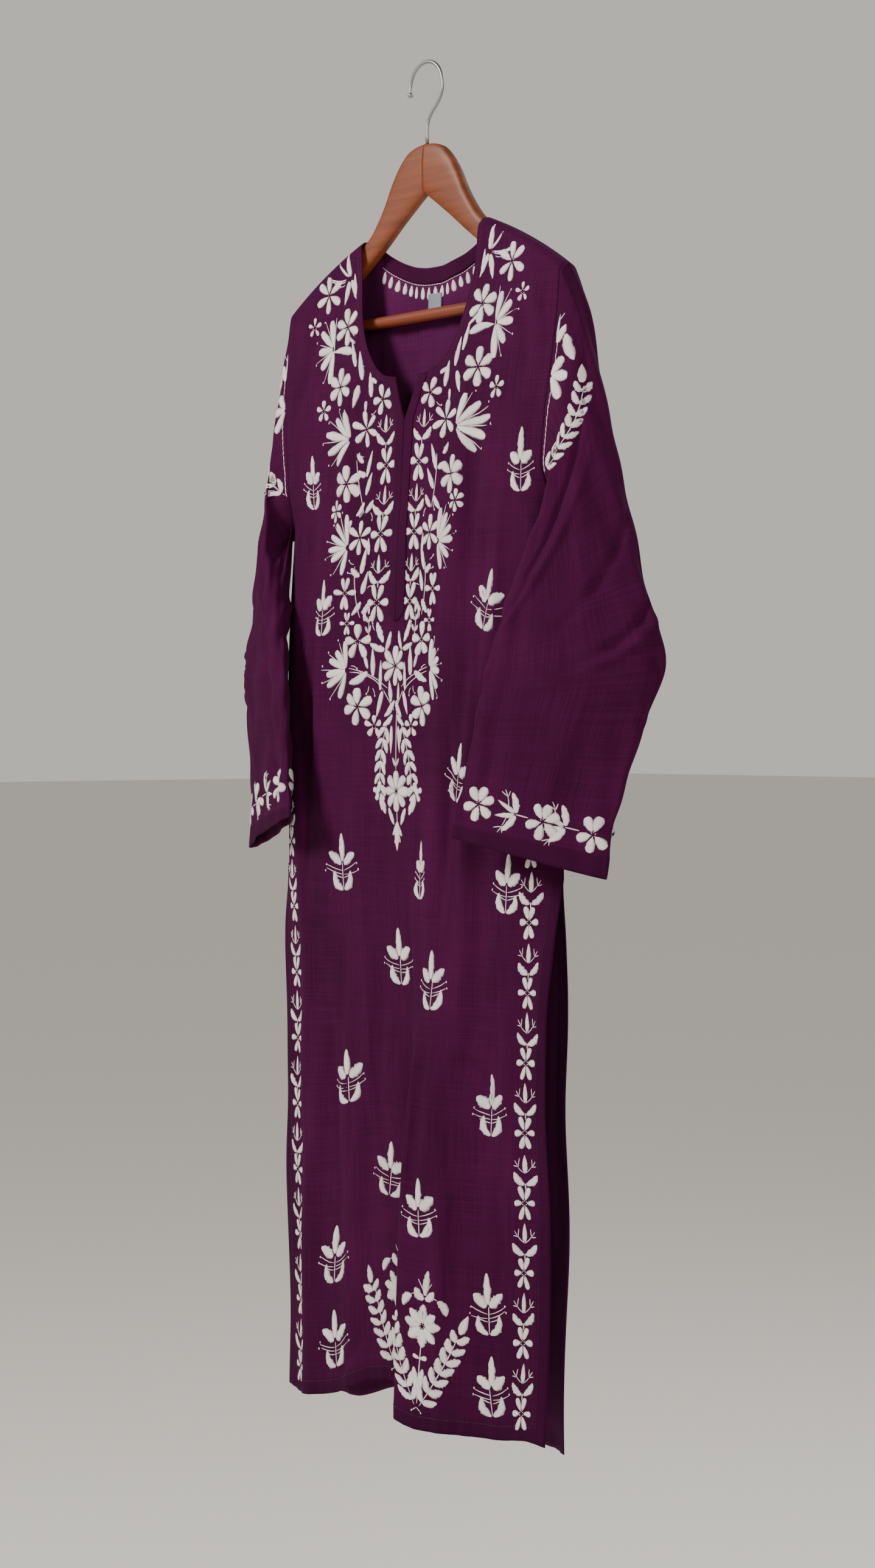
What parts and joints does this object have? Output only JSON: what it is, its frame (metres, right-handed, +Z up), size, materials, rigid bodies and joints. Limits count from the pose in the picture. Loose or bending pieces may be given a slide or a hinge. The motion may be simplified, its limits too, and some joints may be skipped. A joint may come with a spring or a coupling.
{
  "type": "kurta tunic on a wooden hanger",
  "caption": "Long-sleeved plum cotton kurta with white floral hand embroidery, hanging on a wooden hanger with a steel hook.",
  "frame": {"origin": "underside of the hook's arch, where the rail that carries it touches", "axes": "+Z up, -Y towards the front of the garment, +X towards the garment's left sleeve, along the hanger"},
  "size_m": [0.6044, 0.1118, 1.3295],
  "materials": {
    "plum_cotton": "matte plain-weave cotton with a faint sheen",
    "white_thread": "satin-stitched cotton thread",
    "label_weave": "woven tape, blank",
    "varnished_wood": "satin varnish",
    "hook_steel": "polished wire"
  },
  "bodies": {
    "root": {"front": "plum_cotton", "back": "plum_cotton", "sleeve_left": "plum_cotton", "sleeve_right": "plum_cotton", "placket_left": "plum_cotton", "placket_right": "plum_cotton", "neck_facing": "plum_cotton", "neck_label": "label_weave", "hanger_arm_left": "varnished_wood", "hanger_arm_right": "varnished_wood", "bar": "varnished_wood", "hook": "hook_steel"}
  },
  "joints": []
}
